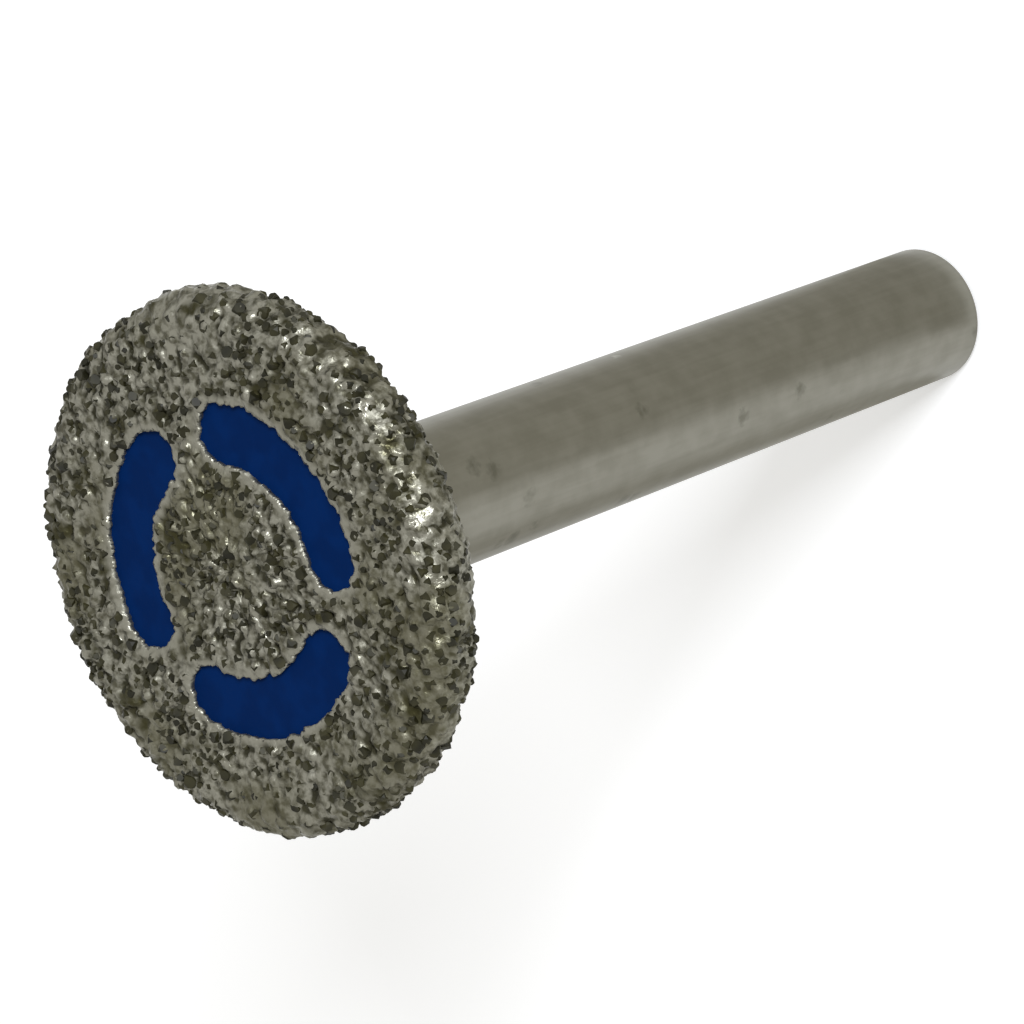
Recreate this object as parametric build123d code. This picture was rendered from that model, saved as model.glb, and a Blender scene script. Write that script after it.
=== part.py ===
from build123d import *
import math
import os
import random

# Electroplated diamond grinding bit: a coated disc head on a straight round shank.
# Millimetres. The bit stands on the shank's end face at Z = 0, and the head's face looks up.

# Steel blank, turned in one piece from a bar
overall_length = 44.4
shank_diameter = 6.0
shank_end_chamfer = 0.3
neck_radius = 0.6
core_diameter = 19.9
core_thickness = 1.6
core_chamfer = 0.5

# Nickel plated over the head
coat_thickness = 0.35

# Painted windows in the coat: a broken ring round the middle of the face
mark_diameter = 10.6
mark_stroke = 2.3
mark_count = 3
mark_gap_angle = 44.0
mark_start_angle = 20.0
paint_thickness = 0.12

# Diamond grains that stand out of the coat
grain_radii = (0.19, 0.22, 0.25, 0.28)
grain_height_ratio = 0.75
grain_spacing = 0.65
grain_tries = 20000
ring_count = 400
grain_seed = 11

# Rounded edges are runs of this many short bevels, closer to round than the grit is fine
bevel_count = 3

# Heights and radii that follow from the sizes above
shank_radius = shank_diameter / 2
core_radius = core_diameter / 2
core_top = overall_length - coat_thickness
core_bottom = core_top - core_thickness
core_edge = min(core_chamfer, core_thickness * 0.45)
coat_radius = core_radius + coat_thickness
coat_top = overall_length
coat_bottom = core_bottom - coat_thickness
coat_edge = min(core_edge + coat_thickness * math.sqrt(2), (coat_top - coat_bottom) * 0.48)
coat_bore_radius = shank_radius + neck_radius
mark_radius = mark_diameter / 2
mark_sweep = 360 / mark_count - mark_gap_angle
widest_grain = max(grain_radii)


def rounding(centre, radius, start, end, bevels):
    """Points in (radius, height) round a centre from one angle to another; one bevel is a chamfer."""
    angles = [math.radians(start + (end - start) * step / bevels) for step in range(bevels + 1)]
    return [(centre[0] + radius * math.cos(a), centre[1] + radius * math.sin(a)) for a in angles]


def rim(radius, bottom, top, edge, bevels):
    """The outline of a disc's rim with both edges broken, from its bottom face to its top."""
    lower_edge = rounding((radius - edge, bottom + edge), edge, -90, 0, bevels)
    return lower_edge + rounding((radius - edge, top - edge), edge, 0, 90, bevels)


def core_rim():
    """The chamfered rim of the steel under the coat."""
    return rim(core_radius, core_bottom, core_top, core_edge, 1)


def coat_rim():
    """The rim of the plated head, rounded by the plating."""
    return rim(coat_radius, coat_bottom, coat_top, coat_edge, bevel_count)


def turned(*outline):
    """A closed outline of (radius, height) points turned about Z."""
    return revolve(make_face(Plane.XZ * Polyline(*outline, close=True)), Axis.Z)


def steel_blank():
    """The shank with its chamfered end, the neck and the disc under the coat."""
    neck_centre = (shank_radius + neck_radius, core_bottom - neck_radius)
    return turned(
        (0, 0),
        (shank_radius - shank_end_chamfer, 0),
        (shank_radius, shank_end_chamfer),
        *rounding(neck_centre, neck_radius, 180, 90, bevel_count),
        *core_rim(),
        (0, core_top),
    )


def mark_arcs(height):
    """The centre lines of the painted windows at a height, evenly spaced round the axis."""
    starts = [mark_start_angle + 360 / mark_count * index for index in range(mark_count)]
    return [CenterArc((0, 0, height), mark_radius, start, mark_sweep) for start in starts]


def mark_solids(bottom, top):
    """The round-ended shape of each painted window, as solids between two heights."""
    arcs = mark_arcs(0)
    return [extrude(Pos(0, 0, bottom) * SlotArc(arc, mark_stroke), top - bottom) for arc in arcs]


def nickel_coat():
    """The plated layer over the disc, open round the neck and at the painted windows."""
    coat = turned(
        (coat_bore_radius, coat_bottom),
        *coat_rim(),
        (0, coat_top),
        (0, core_top),
        *reversed(core_rim()),
        (coat_bore_radius, core_bottom),
    )
    return coat - mark_solids(core_top, coat_top)


def face_paint():
    """The paint on the steel at the bottom of each window."""
    return Compound(mark_solids(core_top, core_top + paint_thickness))


def polyhedron(corners, faces):
    """A solid from its corners and the corner numbers round each flat face."""
    return Solid(Shell([Face(Wire.make_polygon([corners[i] for i in face])) for face in faces]))


def corner_up_grain(radius):
    """A crystal that shows a corner where three of its flat sides meet."""
    base = [(radius * math.cos(a), radius * math.sin(a), 0) for a in (0, math.tau / 3, -math.tau / 3)]
    point = (0, 0, radius * grain_height_ratio * 1.1)
    return polyhedron([*base, point], [(2, 1, 0), (0, 1, 3), (1, 2, 3), (2, 0, 3)])


def point_up_grain(radius):
    """The exposed half of an octahedral crystal that shows a point, a little off centre."""
    base = [(radius, 0, 0), (0, radius, 0), (-radius, 0, 0), (0, -radius, 0)]
    point = (radius * 0.1, radius * 0.15, radius * grain_height_ratio * 1.15)
    return polyhedron([*base, point], [(3, 2, 1, 0), (0, 1, 4), (1, 2, 4), (2, 3, 4), (3, 0, 4)])


def edge_up_grain(radius):
    """A crystal that shows an edge, as a small roof."""
    length, width, ridge = radius * 0.85, radius * 0.7, radius * 0.45
    base = [(-length, -width, 0), (length, -width, 0), (length, width, 0), (-length, width, 0)]
    top = [(x, 0, radius * grain_height_ratio) for x in (-ridge, ridge)]
    return polyhedron([*base, *top], [(3, 2, 1, 0), (0, 1, 5, 4), (2, 3, 4, 5), (1, 2, 5), (3, 0, 4)])


def face_up_grain(radius):
    """A crystal that shows a triangular face, turned half a step from the section at the coat."""
    height = radius * grain_height_ratio * 0.85
    base = [(radius * math.cos(a), radius * math.sin(a), 0) for a in (0, math.tau / 3, -math.tau / 3)]
    top = [(x * -0.6, y * -0.6, height) for x, y, _ in base]
    flanks = [(0, 1, 5), (1, 2, 3), (2, 0, 4), (1, 3, 5), (2, 4, 3), (0, 5, 4)]
    return polyhedron([*base, *top], [(2, 1, 0), (3, 4, 5), *flanks])


def grain_shapes():
    """The crystals that the grit repeats: each shape in each size."""
    makers = (corner_up_grain, point_up_grain, edge_up_grain, face_up_grain)
    return [make(radius) for radius in grain_radii for make in makers]


def crowded(place, grid):
    """Whether a place is closer than the spacing to one in the grid of places already taken."""
    column, row, layer = (math.floor(value / grain_spacing) for value in place)
    return any(
        (other - place).length < grain_spacing
        for x in (column - 1, column, column + 1)
        for y in (row - 1, row, row + 1)
        for z in (layer - 1, layer, layer + 1)
        for other in grid.get((x, y, z), [])
    )


def coat_rings():
    """Places along the coat's outline, from the middle of the face over the rim to the neck."""
    outline = Plane.XZ * Polyline(
        (0, coat_top),
        *reversed(coat_rim()),
        (coat_bore_radius + widest_grain, coat_bottom),
    )
    steps = [(step + 0.5) / ring_count for step in range(ring_count)]
    return [(outline @ step, (outline % step).rotate(Axis.Y, -90)) for step in steps]


def diamond_grit():
    """Crystals scattered over face, rim and back, each seated square on the coat."""
    chance = random.Random(grain_seed)
    shapes = grain_shapes()
    marks = mark_arcs(coat_top)
    rings = coat_rings()
    ring_lengths = [place.X for place, _ in rings]
    grid = {}
    grains = []
    for ring_place, ring_outward in chance.choices(rings, ring_lengths, k=grain_tries):
        turn = chance.uniform(0, 360)
        place = ring_place.rotate(Axis.Z, turn)
        if crowded(place, grid):
            continue
        if any(arc.distance_to(place) < mark_stroke / 2 + widest_grain for arc in marks):
            continue
        cell = tuple(math.floor(value / grain_spacing) for value in place)
        grid.setdefault(cell, []).append(place)
        seat = Plane(origin=place, z_dir=ring_outward.rotate(Axis.Z, turn)).location
        spin = Rotation(0, 0, chance.uniform(0, 360))
        grains.append(chance.choice(shapes).moved(seat * spin))
    return Compound(grains)


os.makedirs("parts", exist_ok=True)
for make_piece in (steel_blank, nickel_coat, diamond_grit, face_paint):
    piece = make_piece()
    export_step(piece, f"parts/{make_piece.__name__}.step")
    print(make_piece.__name__, len(piece.solids()), "solids", round(piece.volume, 2), "mm3")
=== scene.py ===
# %% [markdown]
# # A diamond grinding bit, dressed in Blender
# The packed CAD model is the frame: it gives each piece its place and size in metres.
# This lesson gives the pieces their looks: a turned steel shank, a head plated with nickel,
# diamond crystals that stand out of the nickel, and blue paint in three windows of the plating.
# The bit stands on the end of its shank, so the head's face looks up, along +Z.

import bpy
import math
import random
from mathutils import Matrix, Quaternion, Vector, noise
from mathutils.kdtree import KDTree


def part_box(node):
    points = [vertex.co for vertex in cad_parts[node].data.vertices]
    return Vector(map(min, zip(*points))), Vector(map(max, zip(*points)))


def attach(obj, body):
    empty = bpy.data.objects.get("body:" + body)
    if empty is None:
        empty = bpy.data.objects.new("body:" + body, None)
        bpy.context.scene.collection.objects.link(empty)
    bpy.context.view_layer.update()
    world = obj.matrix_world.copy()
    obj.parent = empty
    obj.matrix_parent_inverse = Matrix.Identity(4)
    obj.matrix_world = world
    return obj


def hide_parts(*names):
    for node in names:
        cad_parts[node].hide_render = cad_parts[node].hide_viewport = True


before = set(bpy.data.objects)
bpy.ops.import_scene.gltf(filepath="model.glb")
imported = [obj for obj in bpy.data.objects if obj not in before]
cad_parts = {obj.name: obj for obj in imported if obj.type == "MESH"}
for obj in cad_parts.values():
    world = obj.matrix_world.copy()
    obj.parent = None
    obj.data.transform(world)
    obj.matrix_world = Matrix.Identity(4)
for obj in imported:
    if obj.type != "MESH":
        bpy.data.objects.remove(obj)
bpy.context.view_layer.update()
MM = 0.001
print("pieces in the frame:", sorted(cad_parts))

# %% [markdown]
# ## Sizes
# Everything is placed from the frame's own boxes, so that a change of size in the CAD is followed.
# Only what a box can't tell, such as the roundness of an edge, is written here.

# %% Sizes read from the frame
coat_low, coat_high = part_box("nickel_coat")
core_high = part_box("steel_blank")[1]
paint_low, paint_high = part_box("face_paint")
COAT_RADIUS = (coat_high.x - coat_low.x) / 2
COAT_TOP = coat_high.z
COAT_BOTTOM = coat_low.z
COAT_MIDDLE = (COAT_TOP + COAT_BOTTOM) / 2
CORE_RADIUS = core_high.x
CORE_TOP = core_high.z
COAT_THICKNESS = COAT_TOP - CORE_TOP
CORE_BOTTOM = COAT_BOTTOM + COAT_THICKNESS
CORE_CHAMFER = 0.5 * MM
COAT_ROUNDING = CORE_CHAMFER + COAT_THICKNESS * math.sqrt(2)
SHANK_RADIUS = 3.0 * MM
SHANK_CHAMFER = 0.3 * MM
NECK_RADIUS = 0.6 * MM
BORE_RADIUS = SHANK_RADIUS + NECK_RADIUS
print("coat radius", round(COAT_RADIUS / MM, 2), "mm, top at", round(COAT_TOP / MM, 2), "mm")

# %% [markdown]
# ## Picking by place
# Modelling operators act on whatever is selected. By hand one would click on edges and faces. A
# script could list their numbers, but those change with each operator. So each step selects nothing
# first, and then picks vertices, edges or faces by where they are.

# %% Helpers for selecting and editing


def select_only(piece):
    """Select one piece alone and make it the active one."""
    bpy.ops.object.select_all(action="DESELECT")
    piece.select_set(True)
    bpy.context.view_layer.objects.active = piece


def start_edit(piece, mode):
    """Edit one piece alone, with nothing selected, in VERT, EDGE or FACE mode."""
    select_only(piece)
    bpy.ops.object.mode_set(mode="EDIT")
    bpy.ops.mesh.select_mode(type=mode)
    bpy.ops.mesh.select_all(action="DESELECT")


def pick(piece, kind, test):
    """Select only the vertices, edges or polygons of a mesh that pass a test."""
    bpy.ops.mesh.select_all(action="DESELECT")
    bpy.ops.object.mode_set(mode="OBJECT")
    for item in getattr(piece.data, kind):
        item.select = test(item)
    bpy.ops.object.mode_set(mode="EDIT")


def end_edit():
    """Leave edit mode."""
    bpy.ops.object.mode_set(mode="OBJECT")


def new_piece(name):
    """Name the piece that an operator has just made."""
    piece = bpy.context.active_object
    piece.name = name
    piece.data.name = name
    return piece


def settle(piece):
    """Put a piece's place, turn and size into its mesh."""
    select_only(piece)
    bpy.ops.object.transform_apply(location=True, rotation=True, scale=True)


def apply_modifiers(piece):
    """Apply a piece's modifiers in their order."""
    select_only(piece)
    for modifier in list(piece.modifiers):
        bpy.ops.object.modifier_apply(modifier=modifier.name)


# %% [markdown]
# ## Rings
# The bit is turned, so most of its steps are rings. A round face or edge that is extruded and then
# drawn in or out from the axis makes the next ring, as a lathe tool would on its next pass.

# %% Helpers for turned forms
SAME_HEIGHT = 0.001 * MM
DISC_CORNERS = 8
NEARLY_FLAT = 0.9


def radius_of(place):
    """Distance from the bit's axis."""
    return math.hypot(place.x, place.y)


def extrude_ring(rise, radius_from, radius_to):
    """Extrude a picked round face or edge upwards and bring it from one radius to another."""
    bpy.ops.mesh.extrude_region_move(TRANSFORM_OT_translate={"value": (0, 0, rise)})
    share = radius_to / radius_from
    bpy.ops.transform.resize(value=(share, share, 1), center_override=(0, 0, 0))


def pick_discs(piece, outward):
    """Pick the round faces, which have many corners, that look up (1) or down (-1)."""
    pick(
        piece,
        "polygons",
        lambda face: len(face.vertices) > DISC_CORNERS and face.normal.z * outward > NEARLY_FLAT,
    )


def at_height(mesh, edge, height):
    """Whether both ends of an edge lie at a height."""
    return all(abs(mesh.vertices[corner].co.z - height) < SAME_HEIGHT for corner in edge.vertices)


def pick_edges_at(piece, *heights):
    """Pick the edges that lie level at one of some heights."""
    mesh = piece.data
    pick(piece, "edges", lambda edge: any(at_height(mesh, edge, height) for height in heights))


# %% [markdown]
# ## The camera
# The photo looks down on the head's face at about 45 degrees, turned so that the shank runs off to
# the upper right. A camera could be pushed about until the picture fits. Here it is worked out
# instead, from where the head's middle is in the picture, how far the axis leans away from the
# view, and which way it points across the picture, so that each can be set by itself.

# %% The camera at the photo's view
AXIS_LEAN = math.radians(44.35)
AXIS_TURN = math.radians(-21.02)
FOCAL_PIXELS = 4007
PICTURE_PIXELS = 1024
FILM_WIDTH = 36
NEAREST_SEEN = 10 * MM
HEAD_IN_VIEW = Vector((-9.61, 1.92, 149.2)) * MM

axis_down = Vector((0, 0, -1))
axis_near = Vector((0, -1, 0))
axis_side = Vector((-1, 0, 0))
across = Vector((math.cos(AXIS_TURN), math.sin(AXIS_TURN), 0))
along_view = Vector((0, 0, 1))
shaft_seen = across * math.sin(AXIS_LEAN) + along_view * math.cos(AXIS_LEAN)
near_seen = across * math.cos(AXIS_LEAN) - along_view * math.sin(AXIS_LEAN)
side_seen = Vector((-math.sin(AXIS_TURN), math.cos(AXIS_TURN), 0))
view_axes = [
    axis_down * shaft_seen[i] + axis_near * near_seen[i] + axis_side * side_seen[i] for i in range(3)
]
right, down, forward = view_axes
head_middle = Vector((0, 0, COAT_MIDDLE))
camera_place = head_middle - sum((view_axes[i] * HEAD_IN_VIEW[i] for i in range(3)), Vector())

bpy.ops.object.camera_add(location=camera_place)
camera = bpy.context.active_object
camera.name = "camera"
turn = Matrix((right, -down, -forward)).transposed()
camera.matrix_world = Matrix.Translation(camera_place) @ turn.to_4x4()
camera.data.sensor_width = FILM_WIDTH
camera.data.lens = FOCAL_PIXELS / PICTURE_PIXELS * FILM_WIDTH
camera.data.clip_start = NEAREST_SEEN
bpy.context.scene.camera = camera
print("camera at", [round(v / MM, 1) for v in camera_place], "mm, lens", round(camera.data.lens, 1))

# %% [markdown]
# ## The room
# A small metal part is photographed on plain pale paper. Metal shows mostly what it mirrors, so the
# room matters as much as the lamp. The paper could be a sheet curved up behind the bit. A flat one
# is simpler, under a world that is shown about as pale as the far paper, so that the line between
# them is faint.

# %% Plain materials for the room


def plain_material(name, colour, roughness):
    """A matt material of one colour, for what isn't part of the bit."""
    material = bpy.data.materials.new(name)
    material.use_nodes = True
    shader = material.node_tree.nodes["Principled BSDF"]
    shader.inputs["Base Color"].default_value = (*colour, 1)
    shader.inputs["Roughness"].default_value = roughness
    return material


def seen_directly(tree):
    """One where the camera sees a background, itself or in metal or glass, and none for its light."""
    path = tree.nodes.new("ShaderNodeLightPath")
    seen = path.outputs["Is Camera Ray"]
    for ray in ("Is Glossy Ray", "Is Transmission Ray"):
        either = tree.nodes.new("ShaderNodeMath")
        either.operation = "MAXIMUM"
        tree.links.new(seen, either.inputs[0])
        tree.links.new(path.outputs[ray], either.inputs[1])
        seen = either.outputs[0]
    return seen


def lift_paper(material, glow):
    """Lift a material's brightness where it is seen as background, and keep its shadows."""
    tree = material.node_tree
    shader = tree.nodes["Principled BSDF"]
    emission = tree.nodes.new("ShaderNodeEmission")
    emission.inputs["Strength"].default_value = glow
    both = tree.nodes.new("ShaderNodeAddShader")
    mix = tree.nodes.new("ShaderNodeMixShader")
    tree.links.new(shader.outputs[0], both.inputs[0])
    tree.links.new(emission.outputs[0], both.inputs[1])
    tree.links.new(seen_directly(tree), mix.inputs[0])
    tree.links.new(shader.outputs[0], mix.inputs[1])
    tree.links.new(both.outputs[0], mix.inputs[2])
    tree.links.new(mix.outputs[0], tree.nodes["Material Output"].inputs["Surface"])


# %% The paper, a hair below the shank's end
PAPER_SIZE = 3000 * MM
PAPER_DEPTH = 0.01 * MM
PAPER_COLOUR = (0.85, 0.85, 0.84)
MATT = 0.9
PAPER_GLOW = 0.35
bpy.ops.mesh.primitive_plane_add(size=PAPER_SIZE, location=(0, 0, -PAPER_DEPTH))
floor = new_piece("floor")
floor.data.materials.append(plain_material("paper", PAPER_COLOUR, MATT))
lift_paper(floor.data.materials[0], PAPER_GLOW)
print("paper:", PAPER_SIZE, "m across")

# %% [markdown]
# ## The grey card
# In the photo the shank is darker along one half, because a shiny shank mirrors what lies round its
# foot. A dark band could be painted on it, but would stay put when the camera moves. So a grey card
# lies in front, as a photographer might put one, and a second piece behind and to the left darkens
# the shank's other edge. Only mirrors see it. It is a ring of slices with a hole for the foot, and
# the slices where the bare paper belongs are deleted.

# %% The card's two pieces
CARD_RADIUS = 500 * MM
CARD_HOLE = 3.7 * MM
CARD_HEIGHT = 0.1 * MM
CARD_SLICES = 64
CARD_COLOUR = (0.62, 0.6, 0.53)
CARD_FROM = math.radians(-120)
CARD_TO = math.radians(30)
STRIP_FROM = math.radians(135)


def is_bare(face):
    """Whether a slice of the card's ring lies where the floor stays bare."""
    turned = math.atan2(face.center.y, face.center.x)
    return not (CARD_FROM < turned < CARD_TO or turned > STRIP_FROM)


bpy.ops.mesh.primitive_circle_add(vertices=CARD_SLICES, radius=CARD_RADIUS, location=(0, 0, CARD_HEIGHT))
card = new_piece("grey_card")
start_edit(card, "EDGE")
bpy.ops.mesh.select_all(action="SELECT")
extrude_ring(0, CARD_RADIUS, CARD_HOLE)
bpy.ops.mesh.select_mode(type="FACE")
pick(card, "polygons", is_bare)
bpy.ops.mesh.delete(type="FACE")
end_edit()
card.data.materials.append(plain_material("grey_card", CARD_COLOUR, MATT))
card.visible_camera = False
card.visible_shadow = False
card.visible_diffuse = False
settle(card)
print("card:", len(card.data.polygons), "slices left")

# %% [markdown]
# ## Lamp and world
# The photo's rim has one bright band and its face has none, so one soft lamp stands near the
# camera, a little to the right of it, where only the rounded rim mirrors it. More lamps would give
# more bands. The world fills the rest evenly. Its light is weaker than its look, so that it can be
# as pale as the paper without drowning the lamp.

# %% One soft lamp
LAMP_DIRECTION = Vector((0.3, -0.75, 0.6)).normalized()
LAMP_DISTANCE = 500 * MM
LAMP_SIZE = 160 * MM
LAMP_POWER = 2.1
LAMP_COLOUR = (0.93, 0.96, 1.03)
bpy.ops.object.light_add(type="AREA", location=head_middle + LAMP_DIRECTION * LAMP_DISTANCE)
lamp = bpy.context.active_object
lamp.name = "key_lamp"
lamp.data.size = LAMP_SIZE
lamp.data.energy = LAMP_POWER
lamp.data.color = LAMP_COLOUR
lamp.rotation_euler = LAMP_DIRECTION.to_track_quat("Z", "Y").to_euler()
print("lamp at", [round(v / MM) for v in lamp.location], "mm")

# %% The world
WORLD_COLOUR = (1.0, 0.99, 0.96)
WORLD_LIGHT = 0.55
WORLD_SEEN = 0.82
world = bpy.data.worlds.new("room")
bpy.context.scene.world = world
world.use_nodes = True
background = world.node_tree.nodes["Background"]
background.inputs["Color"].default_value = (*WORLD_COLOUR, 1)
strength = world.node_tree.nodes.new("ShaderNodeMapRange")
strength.inputs["To Min"].default_value = WORLD_LIGHT
strength.inputs["To Max"].default_value = WORLD_SEEN
world.node_tree.links.new(seen_directly(world.node_tree), strength.inputs["Value"])
world.node_tree.links.new(strength.outputs[0], background.inputs["Strength"])
bpy.context.scene.view_settings.view_transform = "Standard"
print("world light", WORLD_LIGHT, "shown as", WORLD_SEEN)

# %% [markdown]
# ## Where the crystals sit
# On the real bit the crystals lie where the plating bath caught them. The CAD model holds each as a
# small pyramid or roof, so their places are read from it rather than scattered afresh. A merged copy
# of that node is taken apart into its islands, and each island gives one place on the plating, the
# way out of it, a size and which way the crystal lies.

# %% Take a CAD node apart
WELD = 0.002 * MM


def merged_copy(node, name):
    """A copy of a CAD node whose loose triangles are joined at their corners."""
    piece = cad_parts[node].copy()
    piece.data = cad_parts[node].data.copy()
    piece.parent = None
    piece.name = name
    bpy.context.scene.collection.objects.link(piece)
    start_edit(piece, "VERT")
    bpy.ops.mesh.select_all(action="SELECT")
    bpy.ops.mesh.remove_doubles(threshold=WELD)
    end_edit()
    return piece


def islands(mesh):
    """The corners of each separate piece of a mesh, as lists of places."""
    leader = list(range(len(mesh.vertices)))

    def find(corner):
        while leader[corner] != corner:
            leader[corner] = leader[leader[corner]]
            corner = leader[corner]
        return corner

    for edge in mesh.edges:
        first, second = (find(corner) for corner in edge.vertices)
        leader[first] = second
    groups = {}
    for corner in range(len(mesh.vertices)):
        groups.setdefault(find(corner), []).append(mesh.vertices[corner].co.copy())
    return list(groups.values())


# %% [markdown]
# ### The way out
# The head is a disc with a rounded rim. Its surface is everywhere one rounding away from a smaller,
# sharp disc inside it. So the way out at any place leads away from the nearest point of that disc.

# %% The way out of the plating


def way_out(place):
    """The direction out of the plating, and the point of its surface, nearest to a place."""
    flat = COAT_RADIUS - COAT_ROUNDING
    half = COAT_TOP - COAT_MIDDLE - COAT_ROUNDING
    radius = radius_of(place)
    share = min(1.0, flat / radius) if radius else 1.0
    height = min(max(place.z, COAT_MIDDLE - half), COAT_MIDDLE + half)
    inside = Vector((place.x * share, place.y * share, height))
    outward = (place - inside).normalized()
    return outward, inside + outward * COAT_ROUNDING


# %% Read the crystals' seats from the frame
# A crystal's lie is told by how many corners it has, and how many of them are raised.
LYING = {(4, 1): "corner_up", (5, 1): "point_up", (6, 2): "edge_up", (6, 3): "face_up"}
RAISED_SHARE = 0.3


def seat_of(corners):
    """A crystal's place on the plating, its way out, its longest arm across and its lie."""
    middle = sum(corners, Vector()) / len(corners)
    outward, surface = way_out(middle)
    reach = max(corners, key=lambda corner: (corner - middle).cross(outward).length)
    arm = reach - surface
    arm -= outward * arm.dot(outward)
    heights = [(corner - middle).dot(outward) for corner in corners]
    raised = sum(height > max(heights) * RAISED_SHARE for height in heights)
    return surface, outward, arm, LYING.get((len(corners), raised), "face_up")


cad_grit = merged_copy("diamond_grit", "grit_copy")
seats = [seat_of(corners) for corners in islands(cad_grit.data)]
bpy.data.objects.remove(cad_grit)
print("crystal seats:", len(seats))

# %% [markdown]
# ## The nickel plating
# Electroplating grows a skin of nickel over the steel, thickest round each crystal and along the
# edge of a masked window, and never quite smooth. The skin could be bump alone, but its outline
# against the white floor is knobbly, so it is real geometry: a disc from a cylinder, its rims
# bevelled round, ringed finely enough to grow, hollowed for the steel and cut at the windows.

# %% The plated disc with rounded rims
ROUND_STEPS = 470
RING_STEP = 0.115 * MM
ROUND_CUTS = round(COAT_ROUNDING * math.pi / 2 / RING_STEP)
bpy.ops.mesh.primitive_cylinder_add(
    vertices=ROUND_STEPS,
    radius=COAT_RADIUS,
    depth=COAT_TOP - COAT_BOTTOM,
    location=(0, 0, COAT_MIDDLE),
)
coat = new_piece("nickel_plating")
settle(coat)
start_edit(coat, "EDGE")
pick_edges_at(coat, COAT_TOP, COAT_BOTTOM)
bpy.ops.mesh.bevel(offset=COAT_ROUNDING, segments=ROUND_CUTS, affect="EDGES")
print("rim rounded in", ROUND_CUTS, "steps")

# %% Rings on face and back
FLAT_RADIUS = COAT_RADIUS - COAT_ROUNDING
CENTRE_RADIUS = 0.12 * MM


def is_radial(mesh, edge, height):
    """Whether an edge lies at a height and points at the axis."""
    first, second = (mesh.vertices[corner].co for corner in edge.vertices)
    return at_height(mesh, edge, height) and abs(radius_of(first) - radius_of(second)) > RING_STEP


def ring_face(height, outward, inner_radius):
    """Inset the flat face at a height to an inner radius and cut the ring into narrow ones."""
    bpy.ops.mesh.select_mode(type="FACE")
    pick_discs(coat, outward)
    bpy.ops.mesh.inset(thickness=FLAT_RADIUS - inner_radius, depth=0)
    bpy.ops.mesh.select_mode(type="EDGE")
    pick(coat, "edges", lambda edge: is_radial(coat.data, edge, height))
    bpy.ops.mesh.subdivide(number_cuts=round((FLAT_RADIUS - inner_radius) / RING_STEP) - 1)


ring_face(COAT_TOP, 1, CENTRE_RADIUS)
ring_face(COAT_BOTTOM, -1, BORE_RADIUS)
print("rings of about", round(RING_STEP / MM, 3), "mm on face and back")

# %% Hollow the shell for the steel disc


def extrude_core():
    """Extrude a picked round face from the neck's edge along the outline of the steel disc."""
    straight = CORE_TOP - CORE_BOTTOM - 2 * CORE_CHAMFER
    extrude_ring(0, BORE_RADIUS, CORE_RADIUS - CORE_CHAMFER)
    extrude_ring(CORE_CHAMFER, CORE_RADIUS - CORE_CHAMFER, CORE_RADIUS)
    extrude_ring(straight, CORE_RADIUS, CORE_RADIUS)
    extrude_ring(CORE_CHAMFER, CORE_RADIUS, CORE_RADIUS - CORE_CHAMFER)


bpy.ops.mesh.select_mode(type="FACE")
pick_discs(coat, -1)
extrude_ring(COAT_THICKNESS, BORE_RADIUS, BORE_RADIUS)
extrude_core()
end_edit()
print("plated shell:", len(coat.data.polygons), "faces")

# %% [markdown]
# ## The windows
# The plater masks the windows by hand, so their edges are ragged. They could be drawn afresh, but
# the CAD paint already has their outline. The cutter is that outline, stood up through the plating,
# with its sides divided, widened a little and pushed about by noise.

# %% Shapes from the paint's outline
FLAT_ANGLE = math.radians(1)


def window_shape(name, bottom, top, cuts):
    """The three windows as upright solids between two heights, with finely divided sides."""
    piece = merged_copy("face_paint", name)
    start_edit(piece, "FACE")
    pick(piece, "polygons", lambda face: abs(face.normal.z) > NEARLY_FLAT)
    bpy.ops.mesh.dissolve_limited(angle_limit=FLAT_ANGLE)
    end_edit()
    split = (paint_low.z + paint_high.z) / 2
    for vertex in piece.data.vertices:
        vertex.co.z = top if vertex.co.z > split else bottom
    start_edit(piece, "EDGE")
    pick_edges_at(piece, top, bottom)
    bpy.ops.mesh.subdivide(number_cuts=cuts)
    bpy.ops.mesh.select_all(action="SELECT")
    bpy.ops.mesh.quads_convert_to_tris()
    end_edit()
    return piece


# %% Helpers that push a surface about


def cloud(name, size):
    """A soft noise texture for displacing a surface."""
    texture = bpy.data.textures.new(name, "CLOUDS")
    texture.noise_scale = size
    texture.noise_depth = 1
    return texture


def push(piece, name, texture, strength, direction="NORMAL", group="", still=0.5):
    """Push a surface about by a texture, which moves nothing at its still value, or all of it alike."""
    modifier = piece.modifiers.new(name, "DISPLACE")
    modifier.texture = texture
    modifier.texture_coords = "LOCAL"
    modifier.strength = strength
    modifier.mid_level = still
    modifier.direction = direction
    modifier.vertex_group = group


# %% Cut the windows
WINDOW_WIDENING = 0.13 * MM
RAGGED = 0.5 * MM
RAGGED_SIZES = {"X": 0.42 * MM, "Y": 0.36 * MM}
CUTTER_EXTRA = 0.3 * MM
CUTTER_CUTS = 5
cutter = window_shape("window_cutter", CORE_TOP - CUTTER_EXTRA, COAT_TOP + CUTTER_EXTRA, CUTTER_CUTS)
push(cutter, "widened", None, WINDOW_WIDENING, still=0)
for direction, size in RAGGED_SIZES.items():
    push(cutter, "ragged_" + direction, cloud("ragged_" + direction, size), RAGGED, direction)
apply_modifiers(cutter)
cut = coat.modifiers.new("windows", "BOOLEAN")
cut.operation = "DIFFERENCE"
cut.solver = "MANIFOLD"
cut.object = cutter
apply_modifiers(coat)
upper = [vertex.co for vertex in cutter.data.vertices if vertex.co.z > COAT_TOP]
window_edge = [Vector((place.x, place.y, COAT_TOP)) for place in upper]
bpy.data.objects.remove(cutter)
print("plating with windows:", len(coat.data.polygons), "faces")

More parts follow.
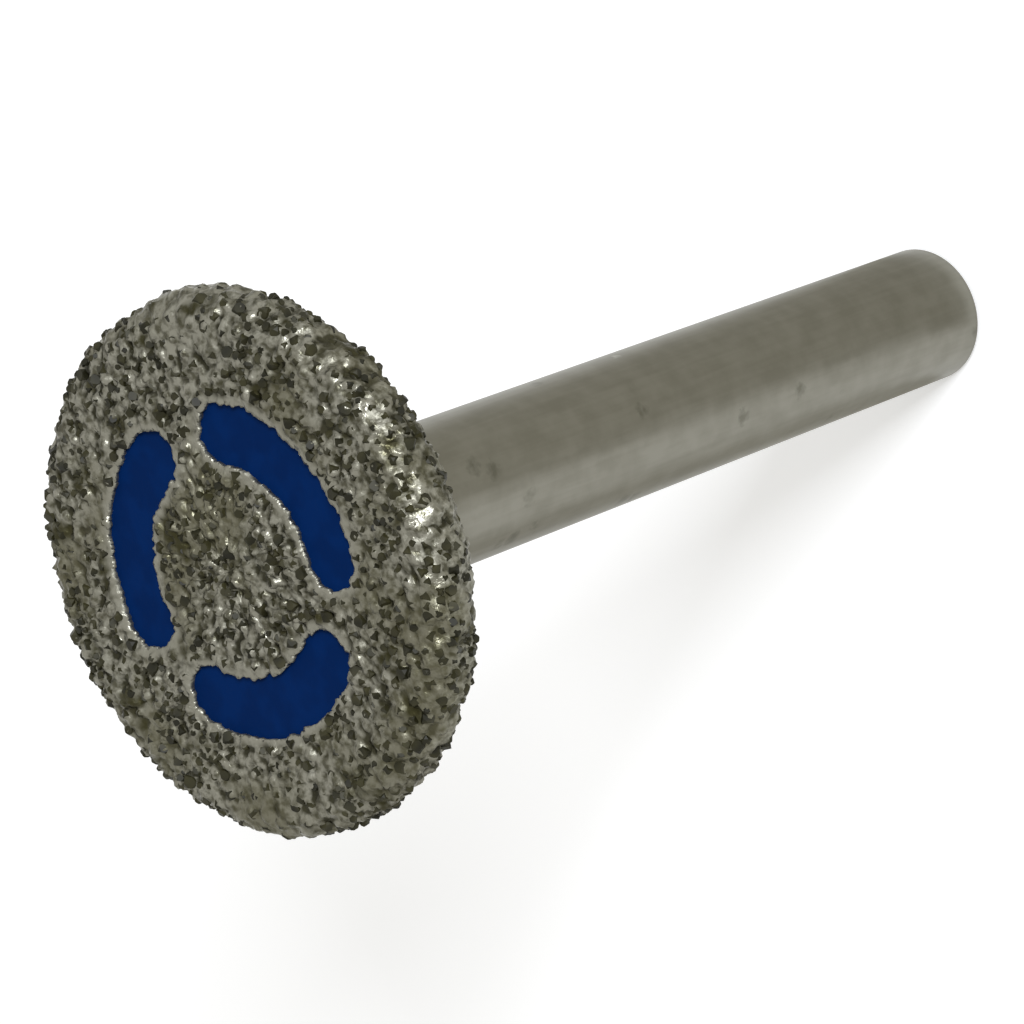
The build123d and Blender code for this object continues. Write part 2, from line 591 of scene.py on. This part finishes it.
# %% [markdown]
# ## Fine crystals between the large ones
# A sieve lets a range of sizes through, so finer crystals fill the gaps between those of the CAD
# model. Random places alone would leave heaps and holes. So the shell's own vertices are taken in a
# shuffled order, and each becomes a seat if it is far enough from those already taken. Where the
# plating is barer the distance is wider: in slow patches, and in two smooth places on the rim.

# %% How bare the plating is from place to place
PATCH_SIZE = 1.7 * MM
PATCH_CONTRAST = 2.2
PATCH_LEVEL = 0.2
SPOT_CONTRAST = 2
SPOT_REACH = 3.2 * MM
SPOT_TURNS = (math.radians(-13), math.radians(164))
BARE_SPOTS = [
    Vector((COAT_RADIUS * math.cos(turned), COAT_RADIUS * math.sin(turned), COAT_MIDDLE))
    for turned in SPOT_TURNS
]


def falloff(distance, reach):
    """One at no distance, none at the reach, smooth between."""
    share = max(0.0, 1 - distance / reach)
    return share * share * (3 - 2 * share)


def spot_at(place):
    """One in the middle of a smooth place on the rim, none away from it."""
    return max(falloff((place - spot).length, SPOT_REACH) for spot in BARE_SPOTS)


def bareness(place):
    """How bare of crystals the plating is at a place, from none to one."""
    patch = noise.noise(place / PATCH_SIZE) * PATCH_CONTRAST + PATCH_LEVEL
    return max(0.0, min(1.0, patch + SPOT_CONTRAST * spot_at(place)))


print("smooth places on the rim:", len(BARE_SPOTS))

# %% Helpers for finding what is near
FINE_SPACING = 0.34 * MM
BARE_SPACING = 0.58 * MM
ON_SURFACE = 0.02 * MM


def tree_of(places):
    """A tree that finds the nearest of some places."""
    tree = KDTree(len(places))
    for index, place in enumerate(places):
        tree.insert(place, index)
    tree.balance()
    return tree


def is_outside(place):
    """Whether a place of the plating lies on its outer surface."""
    return (place - way_out(place)[1]).length < ON_SURFACE


def cell_of(place):
    """The cube of a coarse grid that holds a place."""
    return tuple(math.floor(value / BARE_SPACING) for value in place)


def nearest_taken(place, grid):
    """Distance to the nearest seat in the grid's cubes round a place."""
    x, y, z = cell_of(place)
    near = [
        other
        for i in (x - 1, x, x + 1)
        for j in (y - 1, y, y + 1)
        for k in (z - 1, z, z + 1)
        for other in grid.get((i, j, k), ())
    ]
    return min(((other - place).length for other in near), default=BARE_SPACING)


# %% Seat the fine crystals
# The nickel has grown right over some of them, so these give a pebble and no crystal.
BURIED_SHARE = 0.25
FINE_SIZES = (0.12 * MM, 0.22 * MM)
WINDOW_MARGIN = 0.3 * MM
edge_tree = tree_of(window_edge)
chance = random.Random(5)
buried = []
grid = {}


def is_free(place):
    """Whether a fine crystal has room at a place, off the bore and away from the windows."""
    spacing = FINE_SPACING + (BARE_SPACING - FINE_SPACING) * bareness(place)
    in_bore = radius_of(place) < BORE_RADIUS and place.z < COAT_MIDDLE
    if in_bore or nearest_taken(place, grid) < spacing:
        return False
    return edge_tree.find(place)[2] >= WINDOW_MARGIN


for seat in seats:
    grid.setdefault(cell_of(seat[0]), []).append(seat[0])
places = [vertex.co.copy() for vertex in coat.data.vertices if is_outside(vertex.co)]
chance.shuffle(places)
for place in places:
    if not is_free(place):
        continue
    grid.setdefault(cell_of(place), []).append(place)
    outward, surface = way_out(place)
    if chance.random() < BURIED_SHARE:
        buried.append(surface)
        continue
    sideways = outward.orthogonal().normalized() * chance.uniform(*FINE_SIZES)
    sideways.rotate(Quaternion(outward, chance.uniform(0, math.tau)))
    seats.append((surface, outward, sideways, chance.choice(list(LYING.values()))))
print("crystal seats with the fine ones:", len(seats), "and", len(buried), "buried")

# %% [markdown]
# ## How the nickel grew
# The plating climbs each crystal as a collar and stands up as a lip along a window's edge. Sculpting
# thousands of collars would take days, so each vertex on the outside gets a weight: full beside a
# crystal, less along a window, none away from both. One displacement grows the surface by that
# weight, and two noises make it pebbly. The two smooth places on the rim are thicker, and stand out
# in the head's outline.

# %% Weigh the places where nickel grows
COLLAR_REACH = 0.3 * MM
LIP_REACH = 0.38 * MM
LIP_GROWTH = 0.4
CALMED = 0.6
pebble_tree = tree_of([seat[0] for seat in seats] + buried)
lips = [0.0] * len(coat.data.vertices)
grown = coat.vertex_groups.new(name="grown")
outside = coat.vertex_groups.new(name="outside")
thick = coat.vertex_groups.new(name="thick")
for vertex in coat.data.vertices:
    if not is_outside(vertex.co):
        continue
    collar = falloff(pebble_tree.find(vertex.co)[2], COLLAR_REACH)
    lip = falloff(edge_tree.find(vertex.co)[2], LIP_REACH)
    lips[vertex.index] = lip
    spot = spot_at(vertex.co)
    outside.add([vertex.index], 1 - CALMED * max(lip, spot), "REPLACE")
    thick.add([vertex.index], spot, "REPLACE")
    weight = max(collar, LIP_GROWTH * lip)
    if weight > 0:
        grown.add([vertex.index], weight, "REPLACE")
print("vertices along a window's lip:", sum(lip > 0 for lip in lips))

# %% Grow the nickel round crystals and windows
GROWTH = 0.13 * MM
THICKENING = 0.24 * MM
SWELL_SIZE = 0.55 * MM
SWELL = 0.42 * MM
SWELL_STILL = 0.3
RIPPLE_SIZE = 0.2 * MM
RIPPLE = 0.13 * MM
ungrown = [vertex.co.copy() for vertex in coat.data.vertices]
push(coat, "growth", None, GROWTH, group="grown", still=0)
push(coat, "thickening", None, THICKENING, group="thick", still=0)
push(coat, "swell", cloud("swell", SWELL_SIZE), SWELL, group="outside", still=SWELL_STILL)
push(coat, "ripple", cloud("ripple", RIPPLE_SIZE), RIPPLE, group="outside")
apply_modifiers(coat)
bpy.ops.object.shade_smooth()
print("grown plating:", len(coat.data.polygons), "faces")

# %% [markdown]
# ### What the finish will need to know
# The finish paints shade into the hollows between the pebbles, and a highlight on the lips and the
# window walls. The shader could guess at hollows from how the surface bends, but how far each vertex
# rose is known here, which is surer. So it is written on the mesh, as is each vertex's share of a lip.

# %% Write the hollows and the lips on the mesh
LOWEST_ONE_IN = 50
rise = [
    (vertex.co - bare).dot(way_out(bare)[0]) if is_outside(bare) else None
    for vertex, bare in zip(coat.data.vertices, ungrown)
]
ranked = sorted(value for value in rise if value is not None)
lowest, usual = ranked[len(ranked) // LOWEST_ONE_IN], ranked[len(ranked) // 2]


def write_on_coat(name, values):
    """Write one value a vertex on the plating, for its material to read."""
    attribute = coat.data.attributes.new(name, "FLOAT", "POINT")
    attribute.data.foreach_set("value", values)


# How far each vertex lies below the usual height, which the finish turns into painted shade.
hollows = [0.0 if value is None else (usual - value) / (usual - lowest) for value in rise]
write_on_coat("hollow", [max(0.0, min(1.0, value)) for value in hollows])
# Walls and other inner faces get a full share, so the painted highlight covers the window walls too.
write_on_coat("lip", [1.0 if value is None else lip for value, lip in zip(rise, lips)])
print("nickel rose", [round(value / MM, 3) for value in (ranked[0], lowest, usual, ranked[-1])], "mm")

# %% [markdown]
# ## Building a finish from nodes
# Metal shows what is around it, so its own colour is only part of its look. Pictures could be
# wrapped round the pieces, but would blur close to and show seams. Each finish here is built from
# noises on Object coordinates, at the real size of what they stand for. A few short names for
# the nodes keep that readable.

# %% A material and how its nodes are joined


class Finish:
    """One material, and short names for joining and mixing its nodes."""

    def __init__(self, name):
        self.material = bpy.data.materials.new(name)
        self.material.use_nodes = True
        self.tree = self.material.node_tree
        self.shader = self.tree.nodes["Principled BSDF"]
        self.place = self.tree.nodes.new("ShaderNodeTexCoord").outputs["Object"]

    def link(self, source, target):
        """Join an output to an input."""
        self.tree.links.new(source, target)

    def feed(self, socket, value):
        """Give an input an output to follow, a colour or a number."""
        if isinstance(value, bpy.types.NodeSocket):
            self.link(value, socket)
        elif isinstance(value, tuple):
            socket.default_value = (*value, 1)
        else:
            socket.default_value = value

    def math(self, operation, first, second):
        """One sum of two outputs or numbers."""
        node = self.tree.nodes.new("ShaderNodeMath")
        node.operation = operation
        self.feed(node.inputs[0], first)
        self.feed(node.inputs[1], second)
        return node.outputs[0]

    def ramp(self, source, *stops):
        """A colour ramp of two stops, each a position and a colour or a grey."""
        node = self.tree.nodes.new("ShaderNodeValToRGB")
        for element, (position, colour) in zip(node.color_ramp.elements, stops):
            element.position = position
            element.color = (*colour, 1) if isinstance(colour, tuple) else (colour, colour, colour, 1)
        self.link(source, node.inputs["Fac"])
        return node.outputs["Color"]

    def mix(self, factor, first, second):
        """Mix two colours by a factor; each may be an output or a value."""
        node = self.tree.nodes.new("ShaderNodeMix")
        node.data_type = "RGBA"
        self.feed(node.inputs["Factor"], factor)
        self.feed(node.inputs[6], first)
        self.feed(node.inputs[7], second)
        return node.outputs[2]

    def bump(self, source, depth):
        """Bump from a height, as deep as a size in metres."""
        node = self.tree.nodes.new("ShaderNodeBump")
        node.inputs["Strength"].default_value = 1.0
        node.inputs["Distance"].default_value = depth
        self.link(source, node.inputs["Height"])
        return node.outputs["Normal"]


print("a finish can:", [name for name in vars(Finish) if not name.startswith("_")])

# %% Patterns that a finish is made of
RIPPLES_A_CELL = 6
RIPPLE_SHIFT = 0.32
BLOT_CORE = 0.4


class Recipe(Finish):
    """A finish with patterns of its own: noise, blots, heights and what is written on the mesh."""

    def noise(self, size, detail=2.0, stretch=None):
        """Noise whose lumps are about a size across, in metres."""
        node = self.tree.nodes.new("ShaderNodeTexNoise")
        node.inputs["Scale"].default_value = 1 / size
        node.inputs["Detail"].default_value = detail
        place = self.place
        if stretch:
            mapping = self.tree.nodes.new("ShaderNodeMapping")
            mapping.inputs["Scale"].default_value = stretch
            self.link(self.place, mapping.inputs["Vector"])
            place = mapping.outputs[0]
        self.link(place, node.inputs["Vector"])
        return node.outputs["Fac"]

    def blots(self, spacing, reach, share):
        """Ragged blots in a share of random cells: one in their middle, none past their reach."""
        ripple = self.tree.nodes.new("ShaderNodeTexNoise")
        ripple.inputs["Scale"].default_value = RIPPLES_A_CELL / spacing
        self.link(self.place, ripple.inputs["Vector"])
        shifted = self.tree.nodes.new("ShaderNodeVectorMath")
        shifted.operation = "MULTIPLY_ADD"
        shifted.inputs[1].default_value = (spacing * RIPPLE_SHIFT,) * 3
        self.link(ripple.outputs["Color"], shifted.inputs[0])
        self.link(self.place, shifted.inputs[2])
        cells = self.tree.nodes.new("ShaderNodeTexVoronoi")
        cells.inputs["Scale"].default_value = 1 / spacing
        self.link(shifted.outputs[0], cells.inputs["Vector"])
        chosen = self.math("GREATER_THAN", cells.outputs["Color"], 1 - share)
        near = self.ramp(cells.outputs["Distance"], (reach * BLOT_CORE, 1.0), (reach, 0.0))
        return self.math("MULTIPLY", near, chosen)

    def height(self, low, high):
        """None below a height and one above another, in metres."""
        axes = self.tree.nodes.new("ShaderNodeSeparateXYZ")
        self.link(self.place, axes.inputs[0])
        node = self.tree.nodes.new("ShaderNodeMapRange")
        node.inputs["From Min"].default_value = low
        node.inputs["From Max"].default_value = high
        self.link(axes.outputs["Z"], node.inputs["Value"])
        return node.outputs[0]

    def attribute(self, name):
        """A value painted on the mesh."""
        node = self.tree.nodes.new("ShaderNodeAttribute")
        node.attribute_name = name
        return node.outputs["Fac"]


print("patterns:", [name for name in vars(Recipe) if not name.startswith("_")])

# %% [markdown]
# ## The nickel's finish
# Nickel from a plating bath is dull and warm grey. It is tarnished in slow clouds and has a few olive
# stains. Its hollows between the pebbles have painted shade, and the lips round the windows and the
# window walls have a painted highlight. One even metal with bump would look cast, so colour,
# roughness and bump each have their own noise, and the hollows and lips are read from the mesh.

# %% Nickel: colour
nickel = Recipe("nickel_plate")
NICKEL_LIGHT = (0.296, 0.289, 0.239)
NICKEL_DARK = (0.1, 0.096, 0.067)
NICKEL_HOLLOW_SHADE = (0.042, 0.04, 0.024)
NICKEL_TARNISH = (0.125, 0.118, 0.07)
NICKEL_OLIVE = (0.04, 0.037, 0.013)
PEBBLE_SIZE = 0.32 * MM
TARNISH_SIZE = 5 * MM
OLIVE_SIZE = 1.5 * MM
pebbles = nickel.noise(PEBBLE_SIZE, 3)
pebbled = nickel.ramp(pebbles, (0.36, NICKEL_DARK), (0.58, NICKEL_LIGHT))
# Painted shade: the lowest places between the pebbles are coloured darker.
deep = nickel.ramp(nickel.attribute("hollow"), (0.3, 0.0), (0.75, 1.0))
hollow_shaded = nickel.mix(deep, pebbled, NICKEL_HOLLOW_SHADE)
clouds = nickel.ramp(nickel.noise(TARNISH_SIZE, 1), (0.46, 0.0), (0.62, 0.6))
tarnished = nickel.mix(clouds, hollow_shaded, NICKEL_TARNISH)
patches = nickel.ramp(nickel.noise(OLIVE_SIZE, 2), (0.6, 0.0), (0.7, 0.9))
stained = nickel.mix(patches, tarnished, NICKEL_OLIVE)
# Painted highlight: the lips round the windows and the window walls get the lightest nickel colour.
lip_highlighted = nickel.mix(nickel.attribute("lip"), stained, NICKEL_LIGHT)
nickel.link(lip_highlighted, nickel.shader.inputs["Base Color"])
nickel.shader.inputs["Metallic"].default_value = 0.9
print("nickel's colour:", len(nickel.tree.nodes), "nodes")

# %% Nickel: shine and skin
NICKEL_SHINY = 0.3
NICKEL_DULL = 0.56
SHINE_SIZE = 0.5 * MM
PIT_SIZE = 0.2 * MM
PIT_DEPTH = 0.045 * MM
shine = nickel.ramp(nickel.noise(SHINE_SIZE), (0.45, NICKEL_SHINY), (0.6, NICKEL_DULL))
nickel.link(shine, nickel.shader.inputs["Roughness"])
nickel.link(nickel.bump(nickel.noise(PIT_SIZE, 3), PIT_DEPTH), nickel.shader.inputs["Normal"])
coat.data.materials.clear()
coat.data.materials.append(nickel.material)
print("nickel:", len(nickel.tree.nodes), "nodes")

# %% [markdown]
# ## The blue paint
# Paint fills the bottom of each window. It is brushed in by hand and lies flat, with a slightly
# wavy skin, and runs under the ragged edge of the nickel. A sheet of colour would do from above,
# but it is a solid layer here too, grown sideways so that no gap shows along the ragged edge.

# %% Paint in the windows
PAINT_SPREAD = 0.5 * MM
PAINT_TOP = paint_high.z + 0.08 * MM
PAINT_CUTS = 1
paint = window_shape("blue_paint", CORE_TOP, PAINT_TOP, PAINT_CUTS)
start_edit(paint, "FACE")
bpy.ops.mesh.select_all(action="SELECT")
bpy.ops.mesh.normals_make_consistent(inside=False)
end_edit()
push(paint, "spread", None, PAINT_SPREAD, still=0)
apply_modifiers(paint)
for vertex in paint.data.vertices:
    vertex.co.z = min(max(vertex.co.z, CORE_TOP), PAINT_TOP)
print("paint:", len(paint.data.polygons), "faces")

# %% [markdown]
# ### The paint's finish
# The paint is a deep blue, flat and hardly glossy. It could be one colour, but brushed paint is a
# little thinner in places, so two close blues are mixed by noise, with very little mirror in them.

# %% Blue paint
blue = Recipe("blue_paint")
BLUE = (0.0009, 0.0172, 0.0915)
BLUE_DARK = (0.0009, 0.0143, 0.0763)
BRUSHED_SIZE = 1.2 * MM
WAVE_SIZE = 0.5 * MM
WAVE_DEPTH = 0.02 * MM
brushed = blue.ramp(blue.noise(BRUSHED_SIZE, 2), (0.4, BLUE_DARK), (0.6, BLUE))
blue.link(brushed, blue.shader.inputs["Base Color"])
blue.shader.inputs["Roughness"].default_value = 0.5
blue.shader.inputs["Specular IOR Level"].default_value = 0.02
blue.link(blue.bump(blue.noise(WAVE_SIZE, 2), WAVE_DEPTH), blue.shader.inputs["Normal"])
paint.data.materials.clear()
paint.data.materials.append(blue.material)
print("blue paint:", len(blue.tree.nodes), "nodes")

# %% [markdown]
# ## The diamond crystals
# Grit crystals are blocky: a cube whose corners are cut off. Particles could scatter one shape over
# the head, but the seats are known already. So one crystal is modelled for each way that it can lie,
# then copied to every seat, turned and sized as that seat says. The nickel holds it fast: only its
# upper part shows, and where the plating is bare little more than its tip.

# %% One crystal for each way of lying
CORNER_CUT = 0.75
CRYSTAL_SHARE = 0.72


def crystal(name, turn_to):
    """A cube with its corners cut off, turned so that a chosen direction points up."""
    bpy.ops.mesh.primitive_cube_add(size=2)
    piece = new_piece(name)
    start_edit(piece, "VERT")
    bpy.ops.mesh.select_all(action="SELECT")
    bpy.ops.mesh.bevel(offset=CORNER_CUT, segments=1, affect="VERTICES")
    end_edit()
    lift = Vector(turn_to).normalized().rotation_difference(Vector((0, 0, 1))).to_matrix().to_4x4()
    piece.data.transform(Matrix.Scale(CRYSTAL_SHARE, 4) @ lift)
    return piece


crystals = {
    "corner_up": crystal("corner_up", (1, 1, 1)),
    "point_up": crystal("point_up", (0.6, 0.2, 1)),
    "edge_up": crystal("edge_up", (1, 1, 0.3)),
    "face_up": crystal("face_up", (0.15, 0.1, 1)),
}
print("kinds of crystal:", sorted(crystals))

# %% How far the nickel rose at each seat
ungrown_tree = tree_of(ungrown)


def rise_at(surface, outward):
    """How far the plating grew out at a place of the bare surface."""
    index = ungrown_tree.find(surface)[1]
    return (coat.data.vertices[index].co - ungrown[index]).dot(outward)


rises = [rise_at(seat[0], seat[1]) for seat in seats]
print("nickel rose", round(min(rises) / MM, 2), "to", round(max(rises) / MM, 2), "mm at the seats")

# %% Copy a crystal to each seat
SUNK = 0.66
SUNK_WHERE_BARE = 0.94


def seated(seat, rise):
    """A copy of the right crystal, turned, sized and sunk at a seat."""
    surface, outward, arm, lying = seat
    piece = crystals[lying].copy()
    piece.data = crystals[lying].data.copy()
    bpy.context.scene.collection.objects.link(piece)
    size = arm.length
    side = outward.cross(arm).normalized()
    axes = Matrix((arm.normalized(), side, outward)).transposed().to_4x4()
    sunk = SUNK + (SUNK_WHERE_BARE - SUNK) * bareness(surface)
    place = Matrix.Translation(surface + outward * (rise - size * sunk))
    piece.data.transform(place @ axes @ Matrix.Scale(size, 4))
    return piece


copies = [seated(seat, rise) for seat, rise in zip(seats, rises)]
for piece in crystals.values():
    bpy.data.objects.remove(piece)
bpy.ops.object.select_all(action="DESELECT")
for piece in copies:
    piece.select_set(True)
bpy.context.view_layer.objects.active = copies[0]
bpy.ops.object.join()
grit = new_piece("diamond_crystals")
print("crystals:", len(grit.data.polygons), "faces")

# %% [markdown]
# ### The crystals' finish
# Industrial diamond is olive and half clear, and shows as small dark blocks against the nickel. A
# glass shader could make it, but a baked picture of colours can't hold glass, so each crystal is a
# dark solid with a weak shine.

# %% Diamond
diamond = Recipe("diamond")
DIAMOND_DARK = (0.009, 0.0085, 0.002)
DIAMOND_LIGHT = (0.036, 0.033, 0.012)
TINT_SIZE = 0.8 * MM
tint = diamond.ramp(diamond.noise(TINT_SIZE, 1), (0.35, DIAMOND_DARK), (0.7, DIAMOND_LIGHT))
diamond.link(tint, diamond.shader.inputs["Base Color"])
diamond.shader.inputs["Roughness"].default_value = 0.5
diamond.shader.inputs["IOR"].default_value = 1.34
grit.data.materials.append(diamond.material)
print("diamond:", len(diamond.tree.nodes), "nodes")

# %% [markdown]
# ## The turned steel
# The shank, its chamfered end, the neck and the disc under the plating are one turned piece. The
# CAD mesh has a few dozen flats round the shank, which a shiny metal would show, so the piece is
# modelled again with fine sides, to the same sizes. It grows upwards ring by ring from a cylinder.

# %% The shank with its chamfered end
STEEL_SIDES = 192
neck_start = CORE_BOTTOM - NECK_RADIUS
bpy.ops.mesh.primitive_cylinder_add(
    vertices=STEEL_SIDES,
    radius=SHANK_RADIUS,
    depth=neck_start,
    location=(0, 0, neck_start / 2),
)
steel = new_piece("turned_steel")
settle(steel)
start_edit(steel, "EDGE")
pick_edges_at(steel, 0)
bpy.ops.mesh.bevel(offset=SHANK_CHAMFER, segments=1, affect="EDGES")
print("shank up to the neck:", round(neck_start / MM, 2), "mm")

# %% The neck's rounding and the disc
NECK_STEPS = 8
SHARP_ANGLE = math.radians(30)
bpy.ops.mesh.select_mode(type="FACE")
pick_discs(steel, 1)
radius, height = SHANK_RADIUS, neck_start
for step in range(1, NECK_STEPS + 1):
    turned = math.pi / 2 * step / NECK_STEPS
    wider = SHANK_RADIUS + NECK_RADIUS * (1 - math.cos(turned))
    higher = neck_start + NECK_RADIUS * math.sin(turned)
    extrude_ring(higher - height, radius, wider)
    radius, height = wider, higher
extrude_core()
end_edit()
bpy.ops.object.shade_smooth_by_angle(angle=SHARP_ANGLE)
print("steel:", len(steel.data.polygons), "faces")

# %% [markdown]
# ### The steel's finish
# The shank is satin, with fine lines along it, a cloudy greyness from handling, a few small dark
# stains and a few small lighter spots. Its chamfered end, where it stands on the paper, has painted
# shade. An anisotropic shader could make the satin, but the exported model wouldn't keep it, so
# streaks in colour and bump do it.

# %% Steel: colour
metal = Recipe("shank_steel")
STEEL_LIGHT = (0.248, 0.241, 0.202)
STEEL_DARK = (0.21, 0.203, 0.166)
STEEL_STAIN = (0.155, 0.151, 0.12)
STEEL_LIGHT_SPOT = (0.36, 0.352, 0.31)
STREAK_SIZE = 0.3 * MM
STREAK_STRETCH = (1, 1, 0.05)
MOTTLE_SIZE = 1.1 * MM
MOTTLE_SHARE = 0.6
STAIN_SPACING = 2.2 * MM
LIGHT_SPOT_SPACING = 3.3 * MM
SHADED_END = (0.15 * MM, 0.45 * MM)
streaks = metal.noise(STREAK_SIZE, 3, STREAK_STRETCH)
mottle = metal.noise(MOTTLE_SIZE, 3)
ground = metal.ramp(metal.mix(MOTTLE_SHARE, streaks, mottle), (0.38, STEEL_DARK), (0.62, STEEL_LIGHT))
stained = metal.mix(metal.blots(STAIN_SPACING, 0.2, 0.5), ground, STEEL_STAIN)
# A few small lighter spots in random places.
light_spotted = metal.mix(metal.blots(LIGHT_SPOT_SPACING, 0.1, 0.35), stained, STEEL_LIGHT_SPOT)
# Painted shade: the chamfered end of the shank, where it stands on the paper, is coloured dark.
end_shaded = metal.mix(metal.height(*SHADED_END), STEEL_STAIN, light_spotted)
metal.link(end_shaded, metal.shader.inputs["Base Color"])
print("steel's colour:", len(metal.tree.nodes), "nodes")

# %% Steel: shine and skin
STREAK_DEPTH = 0.004 * MM
metal.shader.inputs["Metallic"].default_value = 1.0
metal.shader.inputs["Roughness"].default_value = 0.42
metal.link(metal.bump(streaks, STREAK_DEPTH), metal.shader.inputs["Normal"])
steel.data.materials.append(metal.material)
print("steel:", len(metal.tree.nodes), "nodes")

# %% [markdown]
# ## Join the pieces to the bit
# Each piece rides on the bit's one body, and the CAD node that it stands in for is hidden.

# %% Ride on the bit's body and hide the CAD nodes
for piece, node, slot in (
    (steel, "steel_blank", "shank_steel"),
    (coat, "nickel_coat", "nickel_plate"),
    (grit, "diamond_grit", "diamond"),
    (paint, "face_paint", "blue_paint"),
):
    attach(piece, "root")
    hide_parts(node)
